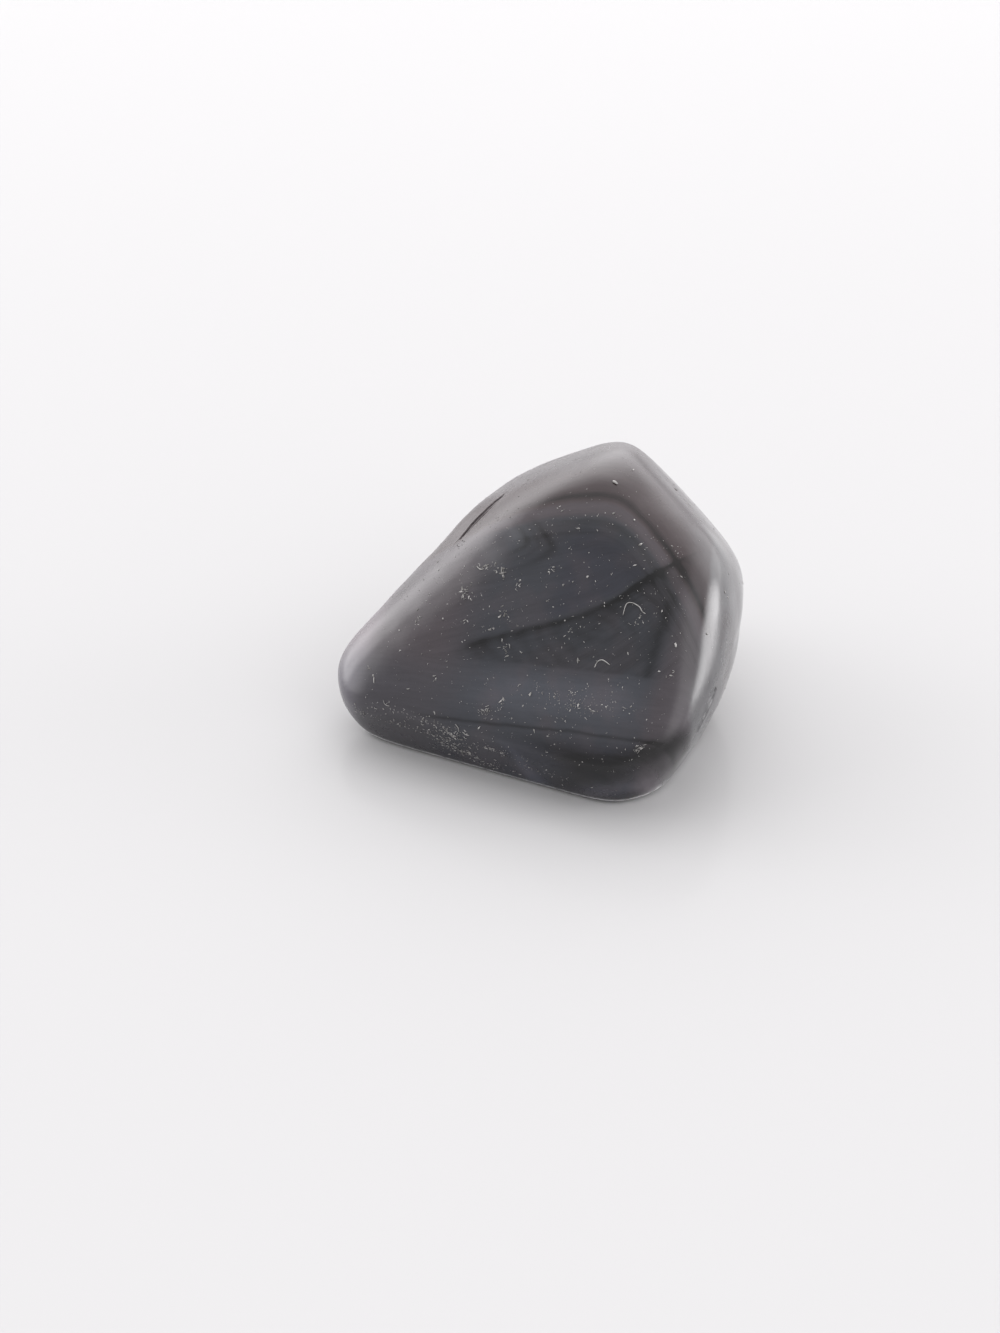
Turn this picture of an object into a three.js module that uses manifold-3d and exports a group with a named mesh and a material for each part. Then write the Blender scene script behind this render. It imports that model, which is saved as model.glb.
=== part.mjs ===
// Obsidian chunk: one tumbled and polished stone, worn to soft-edged facets.
//
// Millimetres, +Z up. The stone rests on a flat patch at z = 0 and the origin lies under the middle
// of its outline. +X is the long way across. The broad face slopes down toward -Y and meets a
// low rim that undercuts to the ground; the back, toward +Y, is steep.
//
// The body is described by its facets. Each one is a flat that the wear has left, given by the way
// it faces and its distance from the heart of the stone. The flats are blended into each other, so
// every ridge between them comes out rounded, as tumbling leaves it.

import * as THREE from "three";
import { mergeVertices } from "three/addons/utils/BufferGeometryUtils.js";
import Module from "manifold-3d";

// How crisp the ridges between facets are. A high number is a freshly broken edge.
const EDGE_CRISPNESS = 15;

// Rows of triangles along each side of the starting icosahedron.
const BODY_DETAIL = 20;

// The lowest part of the belly is ground away by this much, which leaves the true resting flat.
const RESTING_TRIM = 0.15;

// The heart of the stone, before it is centred over the origin.
const HEART = new THREE.Vector3(1.4, 0, 7.2);

// Facing: `turn` is the compass angle round the stone in degrees, 0 toward -Y, 90 toward +X, 180
// toward +Y. `lift` is the angle above level. `reach` is the distance from the heart.
const FACETS = [
  { name: "broad face", turn: 335, lift: 41, reach: 6.95 },
  { name: "brow above the face", turn: 326, lift: 52, reach: 8.0 },
  { name: "belly", turn: 0, lift: -90, reach: 7.2 },
  { name: "front rim", turn: 334, lift: -22, reach: 12.4 },
  { name: "front tip", turn: 22, lift: -22, reach: 15.1 },
  { name: "front right corner", turn: 64, lift: -24, reach: 12.7 },
  { name: "lower right side", turn: 78, lift: -17, reach: 12.3 },
  { name: "right side", turn: 78, lift: 10, reach: 12.4 },
  { name: "right shoulder", turn: 108, lift: 41, reach: 11.4 },
  { name: "left shoulder", turn: 253, lift: 45, reach: 8.8 },
  { name: "crown", turn: 226, lift: 62, reach: 9.75 },
  { name: "back", turn: 180, lift: 9, reach: 10.0 },
  { name: "lower left back", turn: 215, lift: -9, reach: 9.0 },
  { name: "nose", turn: 275, lift: 0, reach: 16.0 },
  { name: "under the nose, front", turn: 294, lift: -32, reach: 16.2 },
  { name: "under the nose, back", turn: 232, lift: -43, reach: 11.0 },
  { name: "back right", turn: 130, lift: 0, reach: 13.0 },
  { name: "under the right side", turn: 110, lift: -28, reach: 11.5 },
  { name: "worn ridge, left", turn: 294, lift: 52, reach: 8.3 },
  { name: "worn ridge, top", turn: 330, lift: 62, reach: 9.0 },
  { name: "worn ridge, top left", turn: 280, lift: 66, reach: 9.2 },
  { name: "worn ridge, top right", turn: 42, lift: 64, reach: 10.45 },
  { name: "worn ridge, right of the face", turn: 24, lift: 40, reach: 11.7 },
  { name: "worn ridge, right", turn: 50, lift: 28, reach: 13.7 },
];

// Two old chips that the tumbling did not take out: shallow, lens-shaped grooves. `from` and `to`
// are the ends, close to the surface, measured like HEART.
const GROOVES = [
  {
    name: "crease in the left shoulder",
    from: new THREE.Vector3(-5.7, 1.7, 12.2),
    to: new THREE.Vector3(-2.6, 4.4, 14.2),
    halfWidth: 0.34,
    halfDepth: 0.42,
  },
  {
    name: "crack low on the right side",
    from: new THREE.Vector3(11.4, -8.9, 7.1),
    to: new THREE.Vector3(10.3, -10.9, 5.6),
    halfWidth: 0.24,
    halfDepth: 0.3,
  },
];

// Rows along each side of the icosahedron that a groove cutter is stretched from.
const GROOVE_DETAIL = 4;

const STONE_COLOUR = 0x2c2d33;
const STONE_ROUGHNESS = 0.12;

const wasm = await Module();
wasm.setup();

// Unit vector for a compass turn and a lift above level.
function facing(turn, lift) {
  const turnAngle = THREE.MathUtils.degToRad(turn);
  const liftAngle = THREE.MathUtils.degToRad(lift);
  return new THREE.Vector3(
    Math.sin(turnAngle) * Math.cos(liftAngle),
    -Math.cos(turnAngle) * Math.cos(liftAngle),
    Math.sin(liftAngle),
  );
}

const FLATS = FACETS.map((facet) => ({
  normal: facing(facet.turn, facet.lift),
  reach: facet.reach,
}));

// Distance from the heart to the worn surface along a unit direction. With an endless crispness
// this would be the plain faceted solid; a lower one rounds each ridge in proportion to its size.
function surfaceDistance(direction) {
  let total = 0;
  for (const flat of FLATS) {
    const closeness = flat.normal.dot(direction) / flat.reach;
    total += Math.max(closeness, 0) ** EDGE_CRISPNESS;
  }
  return total ** (-1 / EDGE_CRISPNESS);
}

// The point of the surface on the line from the heart through a given point.
function surfacePoint(near) {
  const direction = near.clone().sub(HEART).normalize();
  return direction.multiplyScalar(surfaceDistance(direction)).add(HEART);
}

// Keep only positions and share them between neighbouring triangles.
function welded(geometry) {
  const bare = geometry.index ? geometry.toNonIndexed() : geometry.clone();
  bare.deleteAttribute("normal");
  bare.deleteAttribute("uv");
  return mergeVertices(bare, 1e-5);
}

function toSolid(geometry) {
  const closed = welded(geometry);
  const mesh = new wasm.Mesh({
    numProp: 3,
    vertProperties: new Float32Array(closed.attributes.position.array),
    triVerts: new Uint32Array(closed.index.array),
  });
  return new wasm.Manifold(mesh);
}

function toGeometry(solid) {
  const mesh = solid.getMesh();
  const geometry = new THREE.BufferGeometry();
  const positions = new Float32Array(mesh.vertProperties);
  geometry.setAttribute("position", new THREE.BufferAttribute(positions, 3));
  geometry.setIndex(new THREE.BufferAttribute(new Uint32Array(mesh.triVerts), 1));
  geometry.computeVertexNormals();
  return geometry;
}

// A fine icosahedron pushed out until every corner lies on the worn surface.
function bodySolid() {
  const geometry = welded(new THREE.IcosahedronGeometry(1, BODY_DETAIL));
  const positions = geometry.attributes.position;
  const corner = new THREE.Vector3();
  for (let i = 0; i < positions.count; i += 1) {
    corner.fromBufferAttribute(positions, i).normalize();
    corner.multiplyScalar(surfaceDistance(corner)).add(HEART);
    positions.setXYZ(i, corner.x, corner.y, corner.z);
  }
  return toSolid(geometry);
}

// A large block whose top is level, to grind the belly flat at the given height.
function groundBlock(height) {
  const thickness = 10;
  const geometry = new THREE.BoxGeometry(100, 100, thickness);
  geometry.translate(0, 0, height - thickness / 2);
  return toSolid(geometry);
}

// A stretched round lens sunk half into the surface between the two ends of a groove.
function grooveCutter(groove) {
  const start = surfacePoint(groove.from);
  const end = surfacePoint(groove.to);
  const middle = surfacePoint(start.clone().add(end).multiplyScalar(0.5));
  const along = end.clone().sub(start);
  const halfLength = along.length() / 2;
  along.normalize();
  const outward = middle.clone().sub(HEART).normalize();
  const across = outward.clone().cross(along).normalize();
  const depthwise = along.clone().cross(across).normalize();

  const geometry = welded(new THREE.IcosahedronGeometry(1, GROOVE_DETAIL));
  geometry.scale(halfLength, groove.halfWidth, groove.halfDepth);
  const placing = new THREE.Matrix4().makeBasis(along, across, depthwise);
  geometry.applyMatrix4(placing.setPosition(middle));
  return toSolid(geometry);
}

// The stone, ground flat below, with its two old chips.
function stoneGeometry() {
  const body = bodySolid();
  const lowest = toGeometry(body);
  lowest.computeBoundingBox();
  const restHeight = lowest.boundingBox.min.z + RESTING_TRIM;

  let stone = body.subtract(groundBlock(restHeight));
  for (const groove of GROOVES) {
    stone = stone.subtract(grooveCutter(groove));
  }

  const geometry = toGeometry(stone);
  geometry.computeBoundingBox();
  const box = geometry.boundingBox;
  geometry.translate(-(box.min.x + box.max.x) / 2, -(box.min.y + box.max.y) / 2, -box.min.z);
  return geometry;
}

const stoneMaterial = new THREE.MeshStandardMaterial({
  color: STONE_COLOUR,
  roughness: STONE_ROUGHNESS,
  metalness: 0,
});

const stone = new THREE.Mesh(stoneGeometry(), stoneMaterial);
stone.name = "stone";

const group = new THREE.Group();
group.name = "obsidian_chunk";
group.add(stone);

export default group;
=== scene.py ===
"""The looks of a small tumble-polished obsidian stone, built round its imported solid.

Lengths are metres, except where a name or a comment says millimetres. The stone's surface is
described by its worn facets, seen from the heart of the stone, and the same description gives the
fine mesh, the ground that dust lies on, and the axes that the flow bands are drawn along.
"""

import logging
import math
from collections.abc import Sequence
from dataclasses import dataclass, field
from enum import Enum

import bmesh
import bpy
import numpy as np
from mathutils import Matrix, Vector


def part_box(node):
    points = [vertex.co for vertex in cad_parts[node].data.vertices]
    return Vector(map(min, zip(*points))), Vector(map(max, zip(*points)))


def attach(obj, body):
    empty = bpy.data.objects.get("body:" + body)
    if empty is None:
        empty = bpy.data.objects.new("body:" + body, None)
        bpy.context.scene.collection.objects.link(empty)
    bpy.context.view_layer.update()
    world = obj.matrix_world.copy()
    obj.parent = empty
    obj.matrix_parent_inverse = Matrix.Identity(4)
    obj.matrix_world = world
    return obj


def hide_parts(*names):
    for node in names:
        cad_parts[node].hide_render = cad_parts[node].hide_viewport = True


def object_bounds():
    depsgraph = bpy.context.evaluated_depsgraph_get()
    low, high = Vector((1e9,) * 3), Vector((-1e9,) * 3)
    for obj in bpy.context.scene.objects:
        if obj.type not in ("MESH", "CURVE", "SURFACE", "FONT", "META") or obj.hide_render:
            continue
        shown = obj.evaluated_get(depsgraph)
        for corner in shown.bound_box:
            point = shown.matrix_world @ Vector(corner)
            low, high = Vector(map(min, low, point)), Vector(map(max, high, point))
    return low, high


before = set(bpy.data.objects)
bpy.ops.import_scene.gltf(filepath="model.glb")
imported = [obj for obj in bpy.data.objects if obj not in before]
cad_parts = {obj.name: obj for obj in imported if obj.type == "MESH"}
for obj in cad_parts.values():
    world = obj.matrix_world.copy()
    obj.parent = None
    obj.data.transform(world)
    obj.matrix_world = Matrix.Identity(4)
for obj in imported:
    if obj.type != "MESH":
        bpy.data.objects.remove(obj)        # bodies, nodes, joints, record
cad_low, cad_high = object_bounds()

LOG = logging.getLogger("obsidian_stone")
MM = 0.001
STONE_NODE = "stone"
ROOT_BODY = "root"

NODES_IN_ROW = 24
PLAIN_REFRACTION = 1.5

Colour = tuple[float, float, float]
Socket = bpy.types.NodeSocket


class Slot(Enum):
    """Names of the record's material slots; the pieces here are not given them."""

    OBSIDIAN = "obsidian"
    DUST = "dust"
    LINT = "lint"


# ---------------------------------------------------------------- the stone's shape


@dataclass(frozen=True)
class Facet:
    """One flat that wear has left on the stone.

    Attributes:
        name: What a maker would call it.
        turn: Compass angle it faces, in degrees: 0 toward -Y, 90 toward +X.
        lift: Angle it faces above level, in degrees.
        reach: Distance from the heart of the stone, in millimetres.
    """

    name: str
    turn: float
    lift: float
    reach: float

    def normal(self) -> np.ndarray:
        """Unit vector that the facet faces along."""
        return facing(self.turn, self.lift)


@dataclass(frozen=True)
class Groove:
    """An old chip that tumbling did not take out: a long, ragged hollow with swollen edges.

    Attributes:
        name: What a maker would call it.
        start: One end, near the surface, in millimetres from the heart.
        end: The other end, likewise.
        half_width: Half the width of the hollow, in millimetres.
        depth: Depth at the middle, in millimetres.
        lip: Height of the thin raised edge on its near side, in millimetres.
        step: How much higher the stone stands just past it, in millimetres.
        swell: How much higher it stands a little further on, in millimetres.
        wander: How far its line strays sideways, in half-widths.
        ragged: How uneven its depth and its line are, from 0 for smooth to 1.
        shade_width: How far the painted shade in the hollow reaches sideways, in half-widths.
    """

    name: str
    start: tuple[float, float, float]
    end: tuple[float, float, float]
    half_width: float
    depth: float
    lip: float
    step: float
    swell: float
    wander: float
    ragged: float
    shade_width: float


def facing(turn: float, lift: float) -> np.ndarray:
    """Turn a compass angle and a lift into a unit vector.

    Args:
        turn: Degrees round the stone, 0 toward -Y and 90 toward +X.
        lift: Degrees above level.

    Returns:
        The unit vector as three numbers.
    """
    around, above = math.radians(turn), math.radians(lift)
    level = math.cos(above)
    return np.array([math.sin(around) * level, -math.cos(around) * level, math.sin(above)])


def unit(vectors: np.ndarray) -> np.ndarray:
    """Scale each row to length one."""
    return vectors / np.linalg.norm(vectors, axis=-1, keepdims=True)


FACETS = (
    Facet("broad face", 335, 41, 6.95),
    Facet("brow above the face", 326, 52, 8.0),
    Facet("belly", 0, -90, 7.2),
    Facet("front rim", 334, -22, 12.4),
    Facet("front tip", 22, -22, 15.1),
    Facet("front right corner", 64, -24, 12.7),
    Facet("lower right side", 78, -17, 12.3),
    Facet("right side", 78, 10, 12.4),
    Facet("right shoulder", 108, 41, 11.4),
    Facet("left shoulder", 253, 45, 8.8),
    Facet("crown", 226, 62, 9.75),
    Facet("back", 180, 9, 10.0),
    Facet("lower left back", 215, -9, 9.0),
    Facet("nose", 275, 0, 16.0),
    Facet("under the nose, front", 294, -32, 16.2),
    Facet("under the nose, back", 232, -43, 11.0),
    Facet("back right", 130, 0, 13.0),
    Facet("under the right side", 110, -28, 11.5),
    Facet("worn ridge, left", 294, 52, 8.3),
    Facet("worn ridge, top", 330, 62, 9.0),
    Facet("worn ridge, top left", 280, 66, 9.2),
    Facet("worn ridge, top right", 42, 64, 10.45),
    Facet("worn ridge, right of the face", 24, 40, 11.7),
    Facet("worn ridge, right", 50, 28, 13.7),
)

# How far a groove disturbs the surface, in half-lengths from its middle.
GROOVE_REACH = 2.4

GROOVES = (
    Groove("crease in the left shoulder", (-7.2, 1.6, 4.9), (-4.1, 4.3, 7.0), half_width=0.13, depth=0.17,
           lip=0.09, step=0.10, swell=0.30, wander=0.30, ragged=1.0, shade_width=0.7),
    Groove("crack low on the right side", (9.9, -9.0, -0.15), (8.9, -10.8, -1.55), half_width=0.26,
           depth=0.40, lip=0.10, step=0.0, swell=0.0, wander=0.14, ragged=0.15, shade_width=0.9),
    Groove("crack, its lower end", (9.05, -10.65, -1.45), (8.7, -11.4, -2.4), half_width=0.18,
           depth=0.28, lip=0.07, step=0.0, swell=0.0, wander=0.22, ragged=0.25, shade_width=0.9),
)


@dataclass
class WornSurface:
    """The stone's surface, as facets blended into each other, seen from its heart.

    Attributes:
        low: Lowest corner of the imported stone's box.
        heart_from_low: Where the heart lies from that corner, in millimetres.
        crispness: How sharp the ridges between facets are.
        low_crispness: The same near the ground, where less has worn away.
        low_from: How far down a direction points, from 0 to 1, when that is reached.
        trim: How much of the belly is ground away to rest on, in millimetres.
        swell: Height of the slow unevenness of the polish, in millimetres.
        facets: The worn flats.
        grooves: The old chips.
    """

    low: Vector
    heart_from_low: tuple[float, float, float] = (15.16, 13.91, 7.05)
    crispness: float = 15.0
    low_crispness: float = 26.0
    low_from: float = 0.40
    trim: float = 0.15
    swell: float = 0.012
    facets: Sequence[Facet] = FACETS
    grooves: Sequence[Groove] = GROOVES
    normals: np.ndarray = field(init=False)
    reaches: np.ndarray = field(init=False)
    heart: np.ndarray = field(init=False)
    waves: list[tuple[np.ndarray, float, float]] = field(init=False)

    def __post_init__(self) -> None:
        """Work out the facet table, the heart's place and the polish's slow waves."""
        self.normals = np.array([facet.normal() for facet in self.facets])
        self.reaches = np.array([facet.reach for facet in self.facets])
        self.heart = np.array(self.low) / MM + np.array(self.heart_from_low)
        draw = np.random.default_rng(7)
        self.waves = []
        for length in (7.0, 5.5, 4.2, 3.4, 2.6, 2.1, 1.7):
            towards = unit(draw.normal(size=3))
            self.waves.append((towards * 2 * math.pi / length, draw.uniform(0, 2 * math.pi), length / 7.0))

    def sharpness(self, directions: np.ndarray) -> np.ndarray:
        """How crisp the ridges are in each direction from the heart, as a column."""
        low = np.clip(-directions[:, 2:] / self.low_from, 0, 1)
        return self.crispness + (self.low_crispness - self.crispness) * low**2 * (3 - 2 * low)

    def held(self, directions: np.ndarray) -> np.ndarray:
        """How firmly each facet, one per column, holds the surface in each direction."""
        return np.maximum(directions @ self.normals.T / self.reaches, 0)

    def smooth_points(self, directions: np.ndarray) -> np.ndarray:
        """Points of the plain worn surface, in millimetres from the heart.

        Args:
            directions: Unit vectors from the heart, one per row.

        Returns:
            One point per row.
        """
        power = self.sharpness(directions)
        closeness = (self.held(directions) ** power).sum(axis=1, keepdims=True)
        return directions * closeness ** (-1 / power)

    def smooth_normals(self, directions: np.ndarray) -> np.ndarray:
        """Outward unit normals of the plain worn surface in the given directions."""
        weights = self.held(directions) ** (self.sharpness(directions) - 1) / self.reaches
        return unit(weights @ self.normals)

    def detailed_points(self, directions: np.ndarray) -> np.ndarray:
        """Points of the surface with its slow swell, its grooves and its flat belly.

        Args:
            directions: Unit vectors from the heart, one per row.

        Returns:
            One point per row, in millimetres from the heart.
        """
        points = self.smooth_points(directions)
        normals = self.smooth_normals(directions)
        height = np.zeros(len(points))
        for towards, phase, share in self.waves:
            height += self.swell * share * np.sin(points @ towards + phase)
        for groove in self.grooves:
            height += self.groove_height(groove, points)
        points = points + normals * height[:, None]
        points[:, 2] = np.maximum(points[:, 2], self.lowest() + self.trim)
        return points

    def lowest(self) -> float:
        """Height of the belly's own flat, in millimetres from the heart."""
        return -next(facet.reach for facet in self.facets if facet.name == "belly")

    def groove_axes(self, groove: Groove) -> tuple[np.ndarray, np.ndarray, np.ndarray, float]:
        """Find where a groove lies on the surface.

        Args:
            groove: The groove to place.

        Returns:
            Its middle, its long direction, its sideways direction and half its length.
        """
        ends = self.smooth_points(unit(np.array([groove.start, groove.end])))
        middle = self.smooth_points(unit(ends.mean(axis=0, keepdims=True)))[0]
        along = unit(ends[1] - ends[0])
        outward = unit(middle)
        across = unit(np.cross(outward, along))
        return middle, along, across, float(np.linalg.norm(ends[1] - ends[0]) / 2)

    def groove_height(self, groove: Groove, points: np.ndarray) -> np.ndarray:
        """Height that a groove adds at each point: below zero in it, above on its lips.

        Args:
            groove: The groove.
            points: Surface points, in millimetres from the heart.

        Returns:
            One height per point, in millimetres.
        """
        middle, along, across, half_length = self.groove_axes(groove)
        from_middle = points - middle
        run = from_middle @ along / half_length
        side = from_middle @ across / groove.half_width
        near = np.linalg.norm(from_middle, axis=1) < half_length * GROOVE_REACH
        taper = np.clip(1 - run**2, 0, None) * near
        jagged = groove.ragged * (0.4 * np.sin(run * 17.7) + 0.2 * np.sin(run * 37.0))
        side = side + groove.wander * (np.sin(run * 7.3 + 0.8) + jagged)
        rough = 0.20 * np.sin(run * 31.0 + side * 1.3) + 0.16 * np.sin(run * 53.0 + 2.0)
        ragged = 1 + groove.ragged * rough
        hollow = np.exp(-((side - 0.3) ** 2) * 1.6) * taper**0.6 * ragged
        lip = np.exp(-((side + 1.5) ** 2) * 1.8) * taper
        away = np.maximum(side - 1.0, 0) * groove.half_width
        stretch = np.exp(-0.75 * run**2) / (1 + np.exp(7.0 * (run - 1.2))) * near
        step = np.exp(-((away / 1.5) ** 2)) / (1 + np.exp(-3.5 * (side - 1.0))) * stretch
        swell = np.exp(-(((away - 2.0) / 1.3) ** 2)) * (away > 0) * stretch
        return groove.lip * lip + groove.step * step + groove.swell * swell - groove.depth * hollow

    def groove_nearness(self, points: np.ndarray, margin: float) -> np.ndarray:
        """Tell which points lie in or beside a groove.

        Args:
            points: Surface points, in millimetres from the heart.
            margin: How far beside a groove still counts, in millimetres.

        Returns:
            True or False for each point.
        """
        near = np.zeros(len(points), bool)
        for groove in self.grooves:
            middle, along, across, half_length = self.groove_axes(groove)
            from_middle = points - middle
            run = np.abs(from_middle @ along)
            side = np.abs(from_middle @ across)
            depthwise = np.abs(from_middle @ np.cross(along, across))
            near |= (run < half_length + margin) & (side < margin) & (depthwise < 2 * margin)
        return near

    def to_frame(self, points: np.ndarray) -> np.ndarray:
        """Move points from millimetres round the heart to metres in the shared frame."""
        return (points + self.heart) * MM


# The middle of the broad face, in millimetres from the heart: right, up the slope and out of it.
FACE_MIDDLE = (2.78, -2.65, 6.94)


@dataclass(frozen=True)
class FaceAxes:
    """The broad face's own axes, which the flow bands and the dirt are placed along.

    Attributes:
        middle: The middle of the face, in millimetres in the shared frame.
        right: Level along the face, toward the stone's right.
        upslope: Up the face's slope.
        outward: Out of the face.
    """

    middle: np.ndarray
    right: np.ndarray
    upslope: np.ndarray
    outward: np.ndarray

    @classmethod
    def of(cls, surface: WornSurface) -> "FaceAxes":
        """Work the axes out from the broad face's own facing.

        Args:
            surface: The stone's surface.

        Returns:
            The axes, with their origin at the middle of the face.
        """
        outward = surface.facets[0].normal()
        right = unit(np.cross(np.array([0.0, 0.0, 1.0]), outward))
        upslope = np.cross(outward, right)
        along_right, along_up, along_out = FACE_MIDDLE
        middle = surface.heart + along_right * right + along_up * upslope + along_out * outward
        return cls(middle, right, upslope, outward)

    def direction(self, surface: WornSurface, right: float, up: float, depth: float = 0.0) -> np.ndarray:
        """Direction from the heart through a place on the face.

        Args:
            surface: The stone's surface.
            right: Millimetres to the right of the face's middle.
            up: Millimetres up its slope.
            depth: Millimetres out of it.

        Returns:
            A unit vector.
        """
        place = self.middle + self.right * right + self.upslope * up + self.outward * depth
        return unit(place - surface.heart)


# ---------------------------------------------------------------- laying out shader nodes


class Wire:
    """A number that the nodes work out, which adds, subtracts and multiplies like a plain one."""

    def __init__(self, bench: "NodeBench", socket: Socket) -> None:
        """Take hold of a node's output."""
        self.bench = bench
        self.socket = socket

    def __add__(self, other: "Number") -> "Wire":
        """The sum of the two."""
        return self.bench.math("ADD", self, other)

    def __sub__(self, other: "Number") -> "Wire":
        """This number less the other."""
        return self.bench.math("SUBTRACT", self, other)

    def __rsub__(self, other: "Number") -> "Wire":
        """The other number less this one."""
        return self.bench.math("SUBTRACT", other, self)

    def __mul__(self, other: "Number") -> "Wire":
        """The product of the two."""
        return self.bench.math("MULTIPLY", self, other)

    def __abs__(self) -> "Wire":
        """This number without its sign."""
        return self.bench.math("ABSOLUTE", self)

    def __pow__(self, exponent: float) -> "Wire":
        """This number to a power."""
        return self.bench.math("POWER", self, exponent)

    __radd__ = __add__
    __rmul__ = __mul__

    def at_least(self, other: "Number") -> "Wire":
        """The higher of two numbers."""
        return self.bench.math("MAXIMUM", self, other)

    def at_most(self, other: "Number") -> "Wire":
        """The lower of two numbers."""
        return self.bench.math("MINIMUM", self, other)

    def fade(self, start: float, end: float, low: float = 0.0, high: float = 1.0) -> "Wire":
        """Soft step between two values.

        Args:
            start: Where the step begins.
            end: Where it ends.
            low: Result before it.
            high: Result after it.

        Returns:
            The stepped number.
        """
        step = self.bench.node("ShaderNodeMapRange", interpolation_type="SMOOTHSTEP", clamp=True)
        for socket, number in zip(step.inputs, (self, start, end, low, high)):
            self.bench.feed(socket, number)
        return Wire(self.bench, step.outputs["Result"])

    def bell(self, middle: float, width: float) -> "Wire":
        """A soft hump of height one, `width` to each side of `middle`."""
        off = (self - middle) * (1 / width)
        return self.bench.math("EXPONENT", off * off * -1.0)


Number = float | Wire
Feed = float | Colour | Socket | Wire


class NodeBench:
    """A bench that one node tree is laid out on, node by node."""

    def __init__(self, tree: bpy.types.NodeTree) -> None:
        """Clear the tree and start at its left end."""
        tree.nodes.clear()
        self.tree = tree

    def node(self, kind: str, **settings: object) -> bpy.types.Node:
        """Add a node and set its options."""
        made = self.tree.nodes.new(kind)
        row, column = divmod(len(self.tree.nodes), NODES_IN_ROW)
        made.location = (180 * column, -220 * row)
        for name, value in settings.items():
            setattr(made, name, value)
        return made

    def feed(self, socket: Socket, value: Feed) -> None:
        """Link a socket to another, or set it to a plain value."""
        if isinstance(value, Wire):
            value = value.socket
        if isinstance(value, bpy.types.NodeSocket):
            self.tree.links.new(value, socket)
        elif isinstance(value, tuple) and len(value) == 3 and len(socket.default_value) == 4:
            socket.default_value = (*value, 1.0)
        else:
            socket.default_value = value

    def math(self, operation: str, first: Number, second: Number = 0.0) -> Wire:
        """One arithmetic step, by Blender's name of it."""
        step = self.node("ShaderNodeMath", operation=operation)
        self.feed(step.inputs[0], first)
        self.feed(step.inputs[1], second)
        return Wire(self, step.outputs[0])

    def vector(self, operation: str, first: Feed, second: Feed) -> Socket:
        """One vector step, such as ADD, by Blender's name of it."""
        step = self.node("ShaderNodeVectorMath", operation=operation)
        self.feed(step.inputs[0], first)
        self.feed(step.inputs[1], second)
        return step.outputs["Vector"]

    def along(self, value: Feed, direction: np.ndarray | Colour) -> Wire:
        """How far a vector reaches along a direction."""
        step = self.node("ShaderNodeVectorMath", operation="DOT_PRODUCT")
        self.feed(step.inputs[0], value)
        self.feed(step.inputs[1], tuple(float(number) for number in direction))
        return Wire(self, step.outputs["Value"])

    def length(self, value: Feed) -> Wire:
        """Length of a vector."""
        step = self.node("ShaderNodeVectorMath", operation="LENGTH")
        self.feed(step.inputs[0], value)
        return Wire(self, step.outputs["Value"])

    def scaled(self, value: Feed, factor: Number) -> Socket:
        """A vector or a colour times a number."""
        step = self.node("ShaderNodeVectorMath", operation="SCALE")
        self.feed(step.inputs[0], value)
        self.feed(step.inputs["Scale"], factor)
        return step.outputs["Vector"]

    def joined(self, x: Number, y: Number, z: Number) -> Socket:
        """Three numbers as one vector."""
        step = self.node("ShaderNodeCombineXYZ")
        for socket, value in zip(step.inputs, (x, y, z)):
            self.feed(socket, value)
        return step.outputs[0]

    def split(self, value: Feed) -> list[Wire]:
        """One vector as three numbers."""
        step = self.node("ShaderNodeSeparateXYZ")
        self.feed(step.inputs[0], value)
        return [Wire(self, socket) for socket in step.outputs]

    def millimetres_from(self, start: np.ndarray) -> Socket:
        """The place on the piece, in millimetres from a point of the shared frame."""
        where = self.node("ShaderNodeTexCoord").outputs["Object"]
        offset = tuple(float(number) for number in start)
        return self.vector("SUBTRACT", self.scaled(where, 1 / MM), offset)

    def noise_node(self, place: Feed, scale: float, detail: float, roughness: float) -> bpy.types.Node:
        """Smooth noise, with its number and its colour both still to choose from."""
        step = self.node("ShaderNodeTexNoise", noise_dimensions="3D")
        self.feed(step.inputs["Vector"], place)
        step.inputs["Scale"].default_value = scale
        step.inputs["Detail"].default_value = detail
        step.inputs["Roughness"].default_value = roughness
        return step

    def noise(self, place: Feed, scale: float, detail: float = 2.0, roughness: float = 0.5) -> Wire:
        """Smooth noise of about 0 to 1 at a place."""
        return Wire(self, self.noise_node(place, scale, detail, roughness).outputs["Fac"])

    def drift(self, place: Feed, scale: float, detail: float, amount: float) -> Socket:
        """A smooth random shift of a place, `amount` from end to end."""
        colour = self.noise_node(place, scale, detail, 0.5).outputs["Color"]
        return self.scaled(self.vector("SUBTRACT", colour, (0.5, 0.5, 0.5)), amount)

    def blend(self, share: Number, first: Feed, second: Feed) -> Socket:
        """Mix two colours."""
        step = self.node("ShaderNodeMix", data_type="RGBA", blend_type="MIX")
        self.feed(step.inputs[0], share)
        self.feed(step.inputs[6], first)
        self.feed(step.inputs[7], second)
        return step.outputs[2]

    def surface(self, colour: Feed, roughness: Number, refraction: float) -> bpy.types.Node:
        """Finish the tree with one shader on its surface.

        Args:
            colour: Its colour.
            roughness: How dull it is.
            refraction: Its index of refraction.

        Returns:
            The shader, for anything else that it needs.
        """
        shader = self.node("ShaderNodeBsdfPrincipled")
        self.feed(shader.inputs["Base Color"], colour)
        self.feed(shader.inputs["Roughness"], roughness)
        shader.inputs["IOR"].default_value = refraction
        end = self.node("ShaderNodeOutputMaterial")
        self.feed(end.inputs["Surface"], shader.outputs["BSDF"])
        return shader


def new_material(name: str) -> tuple[bpy.types.Material, NodeBench]:
    """Start a material and the bench for its nodes."""
    made = bpy.data.materials.new(name)
    made.use_nodes = True
    return made, NodeBench(made.node_tree)


# ---------------------------------------------------------------- finishes


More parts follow.
